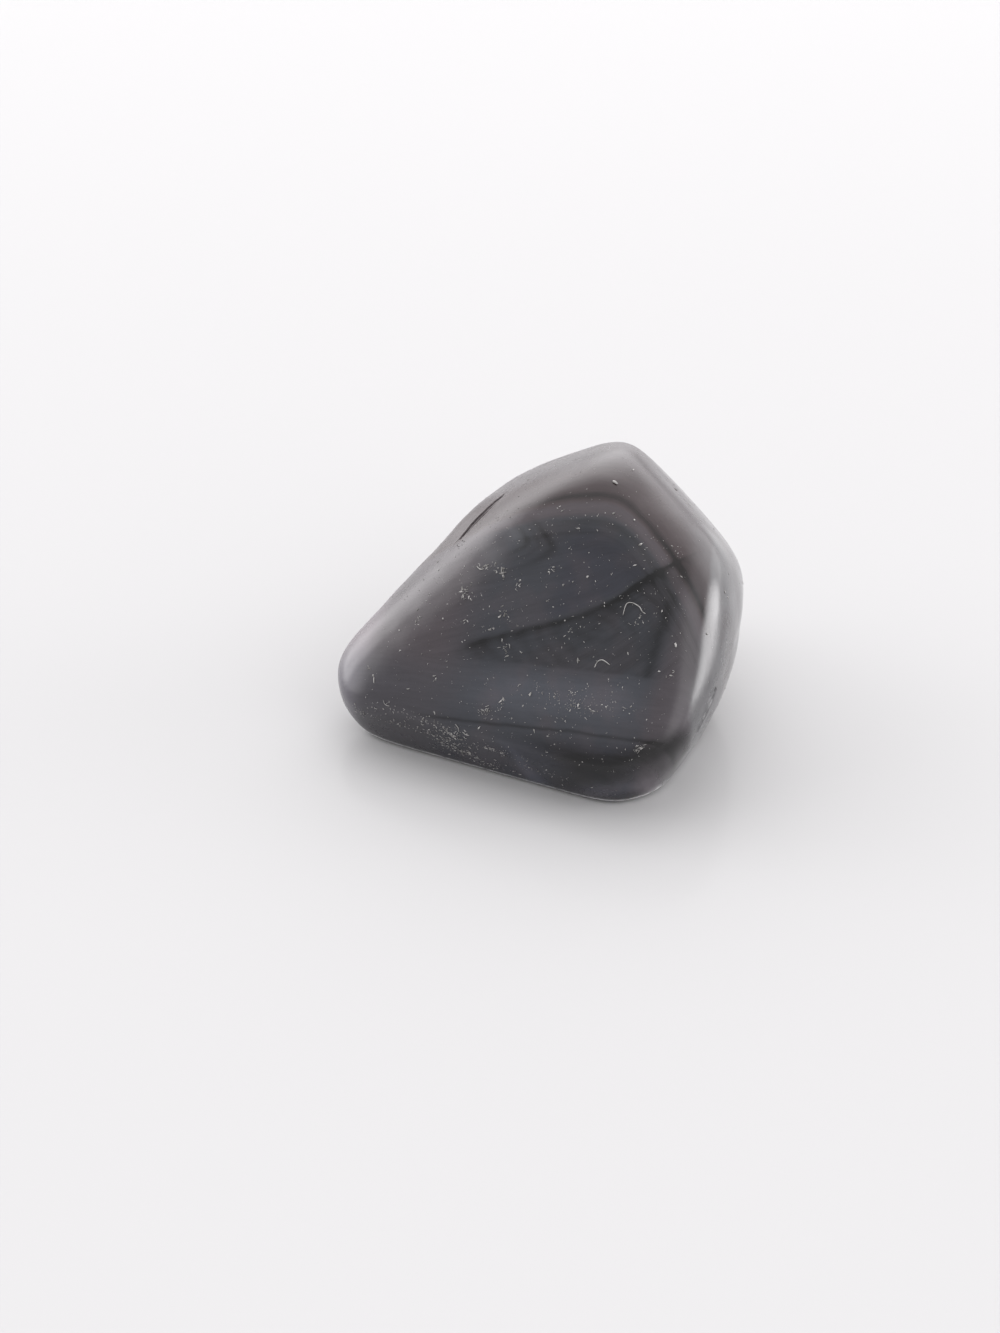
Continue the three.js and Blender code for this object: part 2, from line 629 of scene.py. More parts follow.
@dataclass(frozen=True)
class Layers:
    """Where a spot lies among the stone's flow layers, in millimetres along the face's axes.

    Attributes:
        bench: The bench that they are laid out on.
        place: The spot itself, gently warped.
        right: Its place along the face.
        up: Its place up the slope.
        out: Its place out of the face.
        flow: Distance up through the low layers.
        foot: The same for the lowest layers, which lie a little steeper.
        slip: The same for the layers that the dark slip runs along.
        arch: The same for the layers that arch over under the brow.
    """

    bench: NodeBench
    place: Socket
    right: Wire
    up: Wire
    out: Wire
    flow: Wire
    foot: Wire
    slip: Wire
    arch: Wire


@dataclass(frozen=True)
class ObsidianFinish:
    """Polished volcanic glass with flow bands, drawn along the broad face's axes.

    The bands' places and widths are in millimetres along those axes or across the layers. Painted light is mixed
    into the colour too: a painted highlight and painted shade along the lower edge, painted shade low on the face
    and in the grooves, painted light on the nose tip and painted reflection on the right side.

    Attributes:
        slate: The blue-grey of the middle of the face.
        mauve: The warmer grey toward the sides.
        russet: The red-brown of the brow.
        indigo: The deep blue between the slip and the arch.
        scuff_and_sheen_grey: The pale grey of the dull right side, partly scuffed wear and partly painted
            reflection.
        rim_highlight_colour: The near white of the painted highlight along the lower edge.
        groove_shade_colour: The near black of the painted shade inside a chip.
        gloss: Roughness of the cleanest polish.
        smear: How much duller a smear is.
        edge_wear: How much duller the rounded edges are than the broad face.
        refraction: Index of refraction of the glass.
        darkest: The least that the bands leave of the stone's colour.
        peel: Height of the polish's fine unevenness, in millimetres.
    """

    slate: Colour = (0.0400, 0.0428, 0.0515)
    mauve: Colour = (0.0630, 0.0535, 0.0600)
    russet: Colour = (0.0560, 0.0415, 0.0440)
    indigo: Colour = (0.0310, 0.0325, 0.0435)
    scuff_and_sheen_grey: Colour = (0.0950, 0.0945, 0.0985)
    rim_highlight_colour: Colour = (0.8200, 0.8200, 0.8300)
    groove_shade_colour: Colour = (0.0250, 0.0240, 0.0260)
    gloss: float = 0.10
    smear: float = 0.07
    edge_wear: float = 0.16
    refraction: float = 1.5
    darkest: float = 0.10
    peel: float = 0.03

    def material(self, surface: WornSurface, axes: FaceAxes) -> bpy.types.Material:
        """Build the material.

        Args:
            surface: The stone's surface.
            axes: The broad face's axes.

        Returns:
            The finished material.
        """
        made, bench = new_material("polished_obsidian")
        place = self.place(bench, axes)
        layers = self.layers(bench, place)
        rim_highlight, rim_shade = self.rim(bench, place)
        warmth, blue, russet = self.tints(layers)
        colour = bench.blend(blue, self.slate, self.indigo)
        colour = bench.blend(warmth, colour, self.mauve)
        colour = bench.blend(russet, colour, self.russet)
        # Painted shade: the colour is darkened along a line just inside the lower edge.
        colour = bench.scaled(colour, self.shade(layers) - rim_shade * 0.30)
        # Paler right side: partly scuffed wear, partly painted reflection.
        colour = bench.blend(self.scuff_and_sheen(layers), colour, self.scuff_and_sheen_grey)
        # Painted highlight: a near white line along the lower edge.
        colour = bench.blend(rim_highlight, colour, self.rim_highlight_colour)
        # Painted shade in the grooves: near black colour and a weaker reflection.
        groove_shade_mask: Number = 0.0
        for groove in surface.grooves:
            groove_shade_mask = self.hollow(bench, surface, groove).at_least(groove_shade_mask)
        colour = bench.blend(groove_shade_mask, colour, self.groove_shade_colour)
        shader = bench.surface(colour, self.polish(bench, place), self.refraction)
        bench.feed(shader.inputs["Specular IOR Level"], 0.50 - groove_shade_mask * 0.40)
        bench.feed(shader.inputs["Normal"], self.relief(bench, place))
        return made

    def place(self, bench: NodeBench, axes: FaceAxes) -> Socket:
        """The place on the stone, gently warped: right, up the slope and out of the face."""
        offset = bench.millimetres_from(axes.middle)
        reaches = [bench.along(offset, axis) for axis in (axes.right, axes.upslope, axes.outward)]
        straight = bench.joined(*reaches)
        warped = bench.vector("ADD", straight, bench.drift(straight, 0.17, 1.0, 0.45))
        return bench.vector("ADD", warped, bench.drift(straight, 0.9, 2.0, 0.20))

    def layers(self, bench: NodeBench, place: Socket) -> Layers:
        """Work out where each spot lies among the flow layers.

        Args:
            bench: The bench.
            place: The warped place from `place`.

        Returns:
            The layers.
        """
        right, up, out = bench.split(place)
        depth = (out + 0.4).at_most(0.0)
        right = right - depth * 0.22
        up = up - depth * 0.30
        slip = up - right * 0.51 - right.at_least(0.0) ** 2.0 * 0.075
        from_crest = right - 0.7
        arch = up + abs(from_crest) ** 1.5 * from_crest.fade(-1.5, 3.5, 0.13, 0.26)
        return Layers(bench, place, right, up, out, up - right * 0.13, up - right * 0.20, slip, arch)

    def shade(self, layers: Layers) -> Wire:
        """How light the flow bands make the stone, with painted light on the nose tip and painted shade and a
        painted highlight arc low on the face, as a number to multiply its colour by.
        """
        right = layers.right
        under = layers.flow.fade(-1.75, -2.05)
        wedge = (1.0 - layers.slip.fade(1.4, 1.8)) * (1.0 - under)
        wedge = wedge * right.fade(-7.8, -5.0) * right.fade(7.4, 6.7)
        # Painted reflection: the nose tip at the far left is made much lighter.
        nose = right.fade(-12.4, -14.2)
        mottle = layers.bench.noise(layers.place, 2.6, 5.0, 0.7)
        shade = (self.streaks(layers, under) * 0.95 + 0.38 + mottle * 0.12 + nose * 1.30
                 + self.arch_marks(layers) + self.hook_marks(layers)
                 + self.slip_marks(layers, wedge) + self.foot_marks(layers))
        return shade.at_least(self.darkest)

    def tints(self, layers: Layers) -> tuple[Wire, Wire, Wire]:
        """How warm the stone is, how deep its blue is and how russet it is."""
        right, foot, arch = layers.right, layers.foot, layers.arch
        left = right.fade(-4.5, -9.0) * layers.up.fade(-5.5, -2.0, 0.45, 1.0)
        cloud = layers.bench.noise(layers.place, 0.35).fade(0.42, 0.62, 0.0, 0.35)
        warmth = left.at_least(right.fade(6.4, 8.0, 0.0, 0.8)).at_least(cloud).at_least(arch.fade(8.5, 9.2))
        blue = layers.slip.fade(1.7, 2.2) * arch.fade(8.4, 7.0) * right.fade(-3.0, 0.0, 0.0, 0.9)
        blue = blue.at_least(foot.fade(-6.4, -7.6) * layers.out.fade(-5.0, -3.0))
        return warmth, blue, arch.fade(9.7, 10.2) * arch.fade(14.5, 12.5, 0.3, 1.0)

    def scuff_and_sheen(self, layers: Layers) -> Wire:
        """The pale film past the ridge on the right, partly scuffed wear and partly painted reflection, with a
        painted highlight along the ridge: crisp in front and soft further back.
        """
        bench, up, out = layers.bench, layers.up, layers.out
        past_ridge = layers.right + up * 0.18 + up.at_most(0.0) * 0.10
        crisp = past_ridge.fade(9.35, 9.95)
        soft = past_ridge.fade(8.8, 13.5, 0.0, 0.85)
        scuff_and_sheen = crisp + (soft - crisp) * out.fade(-4.5, -8.0)
        upper_haze = past_ridge.fade(7.6, 9.0) * up.fade(3.0, 6.0, 0.0, 0.30)
        # Painted highlight along the ridge to the right of the broad face.
        ridge_highlight = past_ridge.bell(9.6, 0.35) * up.fade(0.5, -1.5)
        scuffs = bench.noise(bench.joined(layers.right, up * 0.35, out), 0.9, 3.0)
        return (scuff_and_sheen.at_least(upper_haze) + ridge_highlight * 1.4) * scuffs.fade(0.25, 0.60, 0.60, 1.0)

    def arch_marks(self, layers: Layers) -> Wire:
        """What the dark arch under the brow and the fainter ones nested in it add to the shade."""
        arch, right = layers.arch, layers.right
        main = arch.bell(10.5, 0.32) * right.fade(-6.5, -2.5, 0.25, 1.0)
        right_leg = arch.bell(10.3, 0.55) * right.fade(3.0, 5.5)
        nested = arch.bell(8.45, 0.22) * right.fade(-3.5, -0.5)
        lowest = arch.bell(7.6, 0.20)
        inside = arch.fade(5.6, 6.8) * right.fade(-7.0, -4.0)
        pale = arch.bell(9.55, 0.50)
        return pale * 0.22 - main * 0.54 - right_leg * 0.22 - nested * 0.26 - lowest * 0.14 - inside * 0.14

    def hook_marks(self, layers: Layers) -> Wire:
        """What the nested hooks at the upper left add, where one layer folded back on itself."""
        above_tip = layers.up - 5.75
        opening = (above_tip * above_tip * 1.9 + 0.30) ** 0.5 - 0.55
        hook = layers.right + 2.4 + opening
        near = layers.up.bell(5.9, 1.35) * layers.right.bell(-3.9, 2.3)
        lines = (hook.bell(-2.9, 0.60) * 0.30 - hook.bell(0.0, 0.44) * 0.62
                 - hook.bell(-0.95, 0.28) * 0.22 - hook.bell(-1.9, 0.36) * 0.44)
        return lines * near

    def slip_marks(self, layers: Layers, wedge: Wire) -> Wire:
        """What the dark slip across the face and the dark wedge of stone under it add.

        Args:
            layers: The flow layers.
            wedge: 1 inside the wedge and 0 outside.

        Returns:
            What to add to the shade.
        """
        bench, right, up = layers.bench, layers.right, layers.up
        reach = right.fade(6.6, 5.6) * right.fade(-7.6, -5.0)
        slip = layers.slip.bell(1.45, 0.40) * reach
        broad_end = layers.slip.bell(0.9, 0.70) * reach * right.fade(0.5, 4.0)
        tip = right.bell(-5.4, 1.0) * up.bell(-1.75, 0.5)
        second = (right - up * 0.56).bell(1.25, 0.60)
        from_eye = bench.joined(right - 2.2, up * 1.5 - 1.8, 0.0)
        swirl = bench.length(from_eye) + bench.noise(from_eye, 0.45, 3.0) * 2.2
        ripples = bench.math("SINE", swirl * 4.6)
        upright = right.bell(6.5, 0.36) * up.fade(4.8, 3.8) * up.fade(-1.6, -0.6)
        return (wedge * (ripples * 0.06 - second * 0.10 - 0.26)
                - slip * 0.42 - broad_end * 0.20 - tip * 0.30 - upright * 0.30)

    def foot_marks(self, layers: Layers) -> Wire:
        """What the pale band and the dark line low on the face add, with painted shade over the lower rounding and
        a painted highlight arc across it.
        """
        right, flow, foot = layers.right, layers.flow, layers.foot
        past_middle = right - 5.0
        rising = (foot - past_middle.at_least(0.0) ** 2.0 * 0.10
                  - past_middle.at_most(0.0) * past_middle.at_most(0.0) * 0.045)
        pale = flow.bell(-3.8, 1.45) * right.fade(-7.5, -2.0, 0.15, 1.0) * right.fade(8.0, 4.5, 0.3, 1.0)
        line = flow.bell(-6.05, 0.14) * right.fade(-9.5, -6.0)
        # Painted shade over the lower rounding, with a painted highlight arc (glint) low down; lifted takes back
        # the extra darkening at the bottom on the left.
        hollow = rising.bell(-8.15, 0.80) * right.fade(-2.0, 4.0)
        glint = rising.bell(-9.40, 0.20) * right.fade(-3.0, 0.5)
        lifted = foot.fade(-7.9, -8.6) * right.fade(3.5, 0.0)
        return (pale * 0.66 - line * 0.46 - hollow * 0.85 - foot.fade(-7.8, -9.2) * 0.40
                + glint * 0.90 + lifted * 0.40)

    def hollow(self, bench: NodeBench, surface: WornSurface, groove: Groove) -> Wire:
        """Where the painted shade at the bottom of a groove lies, from 0 to 1.

        Args:
            bench: The bench.
            surface: The stone's surface.
            groove: The groove.

        Returns:
            The mask.
        """
        middle, along, across, half_length = surface.groove_axes(groove)
        offset = bench.millimetres_from(surface.heart + middle)
        run = bench.along(offset, along)
        turns = run * (7.3 / half_length) + 0.8
        bend = bench.math("SINE", turns) * (groove.wander * groove.half_width)
        side = bench.along(offset, across) + bend
        line = side.bell(0.3 * groove.half_width, groove.shade_width * groove.half_width)
        ends = abs(run).fade(half_length * 1.05, half_length * 0.7, 0.0, 0.92)
        return line * ends * bench.length(offset).fade(half_length * 1.5, half_length * 1.2)

    def rim(self, bench: NodeBench, place: Socket) -> tuple[Wire, Wire]:
        """The lower edge: a painted highlight along a fine line where the front turns under, with painted shade
        just inside it.

        Args:
            bench: The bench.
            place: The warped place.

        Returns:
            Where the edge is bruised, and where a dark line runs just inside it.
        """
        normal = bench.node("ShaderNodeTexCoord").outputs["Normal"]
        downward = bench.along(normal, (0.0, 0.0, -1.0))
        sideways = bench.along(normal, (1.0, 0.0, 0.0))
        forward = bench.along(normal, (0.0, -1.0, 0.0))
        front = forward.fade(0.15, 0.40) * bench.split(place)[1].fade(-1.5, -3.0)
        patchy = front * bench.noise(place, 2.2, 4.0).fade(0.30, 0.55, 0.35, 0.9)
        turned = downward + sideways.fade(0.15, 0.70, 0.0, 0.13)
        rim_highlight = turned.bell(0.68, 0.09) * patchy * sideways.fade(0.60, 0.85, 1.0, 0.35)
        return rim_highlight, downward.bell(0.50, 0.05) * front

    def streaks(self, layers: Layers, under: Wire) -> Wire:
        """Fine parallel streaks along the flow, about 0 to 1.

        Args:
            layers: The flow layers.
            under: 1 below the wedge and 0 above it.

        Returns:
            The streaks.
        """
        bench = layers.bench
        folded = layers.arch.fade(6.2, 8.4)
        upper = layers.slip * (1.0 - folded) + layers.arch * folded
        streaks: Number = 0.0
        for across, share in ((upper, 1.0 - under), (layers.flow, under)):
            along = bench.joined(across, layers.right * 0.10, layers.out * 0.10)
            both = bench.noise(along, 0.8) * 0.45 + bench.noise(along, 3.6, 5.0, 0.68) * 0.55
            streaks = both * share + streaks
        return streaks

    def polish(self, bench: NodeBench, place: Socket) -> Wire:
        """Roughness: bright polish with faint smears, duller on the rounded edges."""
        right, _, out = bench.split(place)
        smears = bench.noise(place, 0.5, 5.0, 0.6).fade(0.45, 0.75)
        grain = bench.noise(place, 9.0, 3.0, 0.6).fade(0.55, 0.75)
        crisp_ridge = right.fade(5.0, 7.0) * right.fade(9.6, 8.6)
        edge = out.fade(-0.3, -2.2) * out.fade(-9.0, -6.5, 0.25, 1.0) * (1.0 - crisp_ridge)
        return (smears + grain * 0.15) * self.smear + edge * self.edge_wear + self.gloss

    def relief(self, bench: NodeBench, place: Socket) -> Socket:
        """The polish's fine unevenness and its pits, as a bent normal."""
        pits = bench.noise(place, 14.0).fade(0.30, 0.22)
        bump = bench.node("ShaderNodeBump")
        bump.inputs["Strength"].default_value = 0.22
        bump.inputs["Distance"].default_value = self.peel * MM
        bench.feed(bump.inputs["Height"], bench.noise(place, 1.6, 3.0) - pits * 0.10)
        return bump.outputs["Normal"]


@dataclass(frozen=True)
class DirtFinish:
    """Pale dry dirt, each speck a little lighter or darker than the next.

    Attributes:
        name: The material's name.
        pale: The lightest specks.
        dark: The darkest specks.
        roughness: How dull it is.
    """

    name: str
    pale: Colour
    dark: Colour
    roughness: float

    def material(self) -> bpy.types.Material:
        """Build the material, with its shade changing from place to place."""
        made, bench = new_material(self.name)
        where = bench.node("ShaderNodeTexCoord").outputs["Object"]
        mottle = bench.noise(bench.scaled(where, 1 / MM), 2.4).fade(0.35, 0.65)
        bench.surface(bench.blend(mottle, self.dark, self.pale), self.roughness, PLAIN_REFRACTION)
        return made


@dataclass(frozen=True)
class FloorFinish:
    """A plain pale board with a faint sheen.

    Attributes:
        pale: Its colour.
        roughness: How dull its sheen is.
        refraction: Index of refraction of its varnish.
    """

    pale: Colour = (0.505, 0.505, 0.508)
    roughness: float = 0.14
    refraction: float = 1.12

    def material(self) -> bpy.types.Material:
        """Build the material."""
        made, bench = new_material("pale_board")
        bench.surface(self.pale, self.roughness, self.refraction)
        return made


# ---------------------------------------------------------------- pieces


def mesh_piece(name: str, points: np.ndarray, faces: np.ndarray, material: bpy.types.Material) -> bpy.types.Object:
    """Make a smooth-shaded piece that rides on the stone's body.

    Args:
        name: The piece's name.
        points: Its corners, in metres in the shared frame.
        faces: Its triangles, as corner numbers.
        material: Its finish.

    Returns:
        The piece.
    """
    mesh = bpy.data.meshes.new(name)
    mesh.from_pydata(points.tolist(), [], faces.tolist())
    mesh.polygons.foreach_set("use_smooth", np.ones(len(mesh.polygons), bool))
    mesh.materials.append(material)
    mesh.update()
    piece = bpy.data.objects.new(name, mesh)
    bpy.context.scene.collection.objects.link(piece)
    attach(piece, ROOT_BODY)
    return piece


def corners_and_faces(shape: bmesh.types.BMesh) -> tuple[np.ndarray, np.ndarray]:
    """Read a working mesh's corners and its triangles, and let it go."""
    shape.verts.index_update()
    corners = np.array([corner.co for corner in shape.verts])
    faces = np.array([[corner.index for corner in face.verts] for face in shape.faces])
    shape.free()
    return corners, faces


@dataclass
class StoneBody:
    """The stone itself: a fine mesh of the worn surface, finest round its grooves.

    Attributes:
        surface: The worn surface.
        axes: The broad face's axes.
        finish: The polished glass.
        rounds: How often the starting icosahedron is divided.
        groove_rounds: How often the mesh is divided again round the grooves.
        groove_margin: How far beside a groove it is divided, in millimetres.
    """

    surface: WornSurface
    axes: FaceAxes
    finish: ObsidianFinish
    rounds: int = 7
    groove_rounds: int = 3
    groove_margin: float = 1.3

    def directions(self) -> tuple[np.ndarray, np.ndarray]:
        """Directions from the heart and the triangles between them.

        Returns:
            Unit vectors, one per row, and triangles as row numbers.
        """
        ball = bmesh.new()
        bmesh.ops.create_icosphere(ball, subdivisions=self.rounds, radius=1.0)
        for _ in range(self.groove_rounds):
            self.divide_grooves(ball)
        bmesh.ops.triangulate(ball, faces=ball.faces)
        corners, faces = corners_and_faces(ball)
        return unit(corners), faces

    def divide_grooves(self, ball: bmesh.types.BMesh) -> None:
        """Divide the triangles in and beside the grooves once more."""
        rows = unit(np.array([corner.co for corner in ball.verts]))
        near = self.surface.groove_nearness(self.surface.smooth_points(rows), self.groove_margin)
        ball.verts.index_update()
        edges = [edge for edge in ball.edges if near[edge.verts[0].index] and near[edge.verts[1].index]]
        bmesh.ops.subdivide_edges(ball, edges=edges, cuts=1, use_grid_fill=True)

    def build(self) -> bpy.types.Object:
        """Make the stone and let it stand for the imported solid.

        Returns:
            The stone's piece.
        """
        rows, faces = self.directions()
        points = self.surface.to_frame(self.surface.detailed_points(rows))
        points[:, 2] -= points[:, 2].min() - cad_low.z
        material = self.finish.material(self.surface, self.axes)
        piece = mesh_piece("obsidian_stone", points, faces, material)
        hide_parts(STONE_NODE)
        return piece


@dataclass(frozen=True)
class DirtPatch:
    """A place where specks lie close together.

    Attributes:
        right: Its middle along the broad face, in millimetres.
        up: Its middle up the face's slope, in millimetres.
        spread: How far the specks lie along and across the patch, in millimetres.
        tilt: The way the patch runs, in degrees from level along the face.
        count: How many specks.
        size: Typical size of a speck, in millimetres.
    """

    right: float
    up: float
    spread: tuple[float, float]
    tilt: float
    count: int
    size: float


DIRT_PATCHES = (
    DirtPatch(-6.9, 3.6, (0.5, 0.18), 0, 10, 0.12),
    DirtPatch(-5.6, 3.7, (0.45, 0.25), 0, 10, 0.13),
    DirtPatch(-5.2, 3.1, (0.15, 0.4), 0, 5, 0.10),
    DirtPatch(-7.6, 1.7, (0.5, 0.5), 0, 18, 0.10),
    DirtPatch(-4.0, 3.0, (0.25, 0.35), 0, 8, 0.10),
    DirtPatch(-2.0, 4.4, (0.3, 0.25), 0, 4, 0.07),
    DirtPatch(-4.2, 0.8, (0.7, 0.15), -45, 12, 0.09),
    DirtPatch(-6.8, -0.3, (0.2, 0.15), 0, 3, 0.09),
    DirtPatch(-5.0, -0.4, (0.15, 0.12), 0, 3, 0.09),
    DirtPatch(-3.6, -1.4, (0.6, 0.06), -56, 12, 0.08),
    DirtPatch(-10.7, -1.35, (0.12, 0.45), 0, 8, 0.11),
    DirtPatch(-12.4, -5.6, (0.12, 0.10), 0, 3, 0.11),
    DirtPatch(-13.1, -5.2, (0.12, 0.10), 0, 3, 0.09),
    DirtPatch(-10.6, -7.6, (1.6, 0.5), -4, 22, 0.06),
    DirtPatch(-8.2, -7.9, (1.6, 0.6), -4, 26, 0.065),
    DirtPatch(-5.9, -8.3, (1.5, 0.7), -8, 44, 0.065),
    DirtPatch(-5.9, -8.9, (0.5, 0.5), 0, 16, 0.10),
    DirtPatch(-7.2, -10.6, (1.5, 1.8), -15, 90, 0.060),
    DirtPatch(-6.4, -13.4, (2.0, 1.6), 0, 70, 0.060),
    DirtPatch(-10.8, -9.8, (2.2, 0.9), 0, 50, 0.055),
    DirtPatch(-14.4, -9.6, (1.8, 1.0), 0, 26, 0.060),
    DirtPatch(-3.8, -16.0, (2.8, 2.2), 0, 60, 0.050),
    DirtPatch(-2.4, -9.6, (2.4, 1.0), 3, 50, 0.050),
    DirtPatch(2.0, -12.0, (3.0, 1.6), 3, 40, 0.045),
    DirtPatch(-3.7, -5.9, (0.45, 0.35), 0, 40, 0.055),
    DirtPatch(-2.7, -5.0, (0.2, 0.3), 0, 9, 0.085),
    DirtPatch(1.5, -4.0, (2.2, 0.8), 5, 90, 0.05),
    DirtPatch(3.4, -3.4, (1.8, 0.7), 5, 50, 0.05),
    DirtPatch(5.0, 2.5, (0.4, 0.5), 0, 5, 0.08),
    DirtPatch(6.0, 3.3, (0.1, 0.1), 0, 2, 0.10),
    DirtPatch(1.6, -1.0, (0.12, 0.12), 0, 3, 0.10),
    DirtPatch(0.5, 0.7, (0.25, 0.7), 0, 6, 0.08),
    DirtPatch(7.5, -5.9, (0.6, 0.25), 10, 16, 0.09),
    DirtPatch(8.7, -0.4, (0.12, 0.2), 0, 3, 0.10),
    DirtPatch(-7.7, -4.6, (0.15, 0.1), 0, 3, 0.10),
)


@dataclass
class DustFilm:
    """Loose pale specks lying on the stone, in patches and thinly all over.

    Attributes:
        surface: The worn surface.
        axes: The broad face's axes.
        finish: The dirt's finish.
        patches: Where specks lie close together.
        thin_on_face: How many more lie over the broad face.
        thin_all_over: How many more lie over the whole stone.
        thin_size: Typical size of those, in millimetres.
        largest: Size of the largest speck, in millimetres.
        bare_foot: Height above the floor that no speck lies under, in millimetres.
        squeeze: How much closer than its spread a patch's specks lie.
        seed: Start of the random draws.
    """

    surface: WornSurface
    axes: FaceAxes
    finish: DirtFinish
    patches: Sequence[DirtPatch] = DIRT_PATCHES
    thin_on_face: int = 900
    thin_all_over: int = 900
    thin_size: float = 0.045
    largest: float = 0.34
    bare_foot: float = 0.9
    squeeze: float = 0.6
    seed: int = 11

    def places(self, draw: np.random.Generator) -> tuple[np.ndarray, np.ndarray]:
        """Where each speck lies and how big it is.

        Args:
            draw: The random draws.

        Returns:
            Directions from the heart, one per row, and sizes in millimetres.
        """
        directions: list[np.ndarray] = []
        sizes: list[float] = []
        for patch in self.patches:
            turn = math.radians(patch.tilt)
            for _ in range(patch.count):
                along, across = draw.normal(size=2) * patch.spread * self.squeeze
                right = patch.right + along * math.cos(turn) - across * math.sin(turn)
                up = patch.up + along * math.sin(turn) + across * math.cos(turn)
                directions.append(self.axes.direction(self.surface, right, up))
                sizes.append(patch.size * draw.lognormal(0.0, 0.45))
        for _ in range(self.thin_on_face):
            right, up = draw.uniform(-13, 9), draw.uniform(-8.5, 10)
            directions.append(self.axes.direction(self.surface, right, up))
            sizes.append(self.thin_size * draw.lognormal(0.0, 0.5))
        for _ in range(self.thin_all_over):
            directions.append(unit(draw.normal(size=3)))
            sizes.append(self.thin_size * draw.lognormal(0.0, 0.5))
        return np.array(directions), np.minimum(sizes, self.largest)

    def build(self) -> bpy.types.Object:
        """Make every speck as one joined mesh.

        Returns:
            The dust's piece.
        """
        draw = np.random.default_rng(self.seed)
        directions, sizes = self.places(draw)
        heights = self.surface.smooth_points(directions)[:, 2]
        clear_of_floor = heights > self.surface.lowest() + self.bare_foot
        directions, sizes = directions[clear_of_floor], sizes[clear_of_floor]
        normals = self.surface.smooth_normals(directions)
        feet = self.surface.detailed_points(directions)
        corners, faces = speck_shape()
        all_points, all_faces = [], []
        for number, (foot, normal, size) in enumerate(zip(feet, normals, sizes)):
            side = unit(np.cross(normal, unit(draw.normal(size=3))))
            other = np.cross(normal, side)
            shape = corners * (1 + draw.normal(size=corners.shape) * 0.30)
            shape = shape * size * 0.5 * np.array([draw.uniform(0.7, 2.2), draw.uniform(0.4, 0.9), 0.40])
            shape[:, 2] += size * 0.12
            all_points.append(foot + shape @ np.array([side, other, normal]))
            all_faces.append(faces + number * len(corners))
        points = self.surface.to_frame(np.concatenate(all_points))
        return mesh_piece("dust", points, np.concatenate(all_faces), self.finish.material())


def speck_shape() -> tuple[np.ndarray, np.ndarray]:
    """Corners and triangles of a lump of 20 triangles, about one unit in radius."""
    lump = bmesh.new()
    bmesh.ops.create_icosphere(lump, subdivisions=1, radius=1.0)
    return corners_and_faces(lump)


@dataclass(frozen=True)
class LintCurl:
    """One fibre that lies on the broad face; the short thick one high on the brow is a painted glint.

    Attributes:
        route: The points that it passes, in millimetres: right and up along the face, and out of
            it where that matters.
        radius: Half its thickness, in millimetres.
    """

    route: tuple[tuple[float, ...], ...]
    radius: float


LINT_CURLS_AND_GLINT = (
    LintCurl(((3.76, 2.6), (3.80, 3.35), (4.15, 3.55), (4.75, 3.42), (5.05, 3.15), (5.30, 3.08)), 0.032),
    LintCurl(((2.85, -1.22), (2.97, -0.76), (3.28, -0.60), (3.85, -0.80)), 0.034),
    LintCurl(((1.55, -0.85), (1.66, -1.2)), 0.034),
    # Painted glint: a pale fleck high on the brow where a small highlight shines.
    LintCurl(((-0.04, 11.40, -1.5), (0.12, 11.33, -1.5), (0.30, 11.24, -1.5)), 0.085),
    LintCurl(((-5.6, -7.35), (-5.35, -7.6), (-5.3, -8.0)), 0.030),
    LintCurl(((-5.0, -7.9), (-4.8, -8.1), (-4.5, -8.1)), 0.028),
    LintCurl(((-12.3, -5.6), (-12.15, -6.0)), 0.035),
    LintCurl(((-11.2, -7.0), (-11.0, -7.3), (-10.7, -7.35)), 0.022),
    LintCurl(((-7.6, 3.6), (-7.2, 3.4), (-6.9, 3.5)), 0.030),
    LintCurl(((-5.6, 3.9), (-5.4, 3.5), (-5.1, 3.6)), 0.030),
)


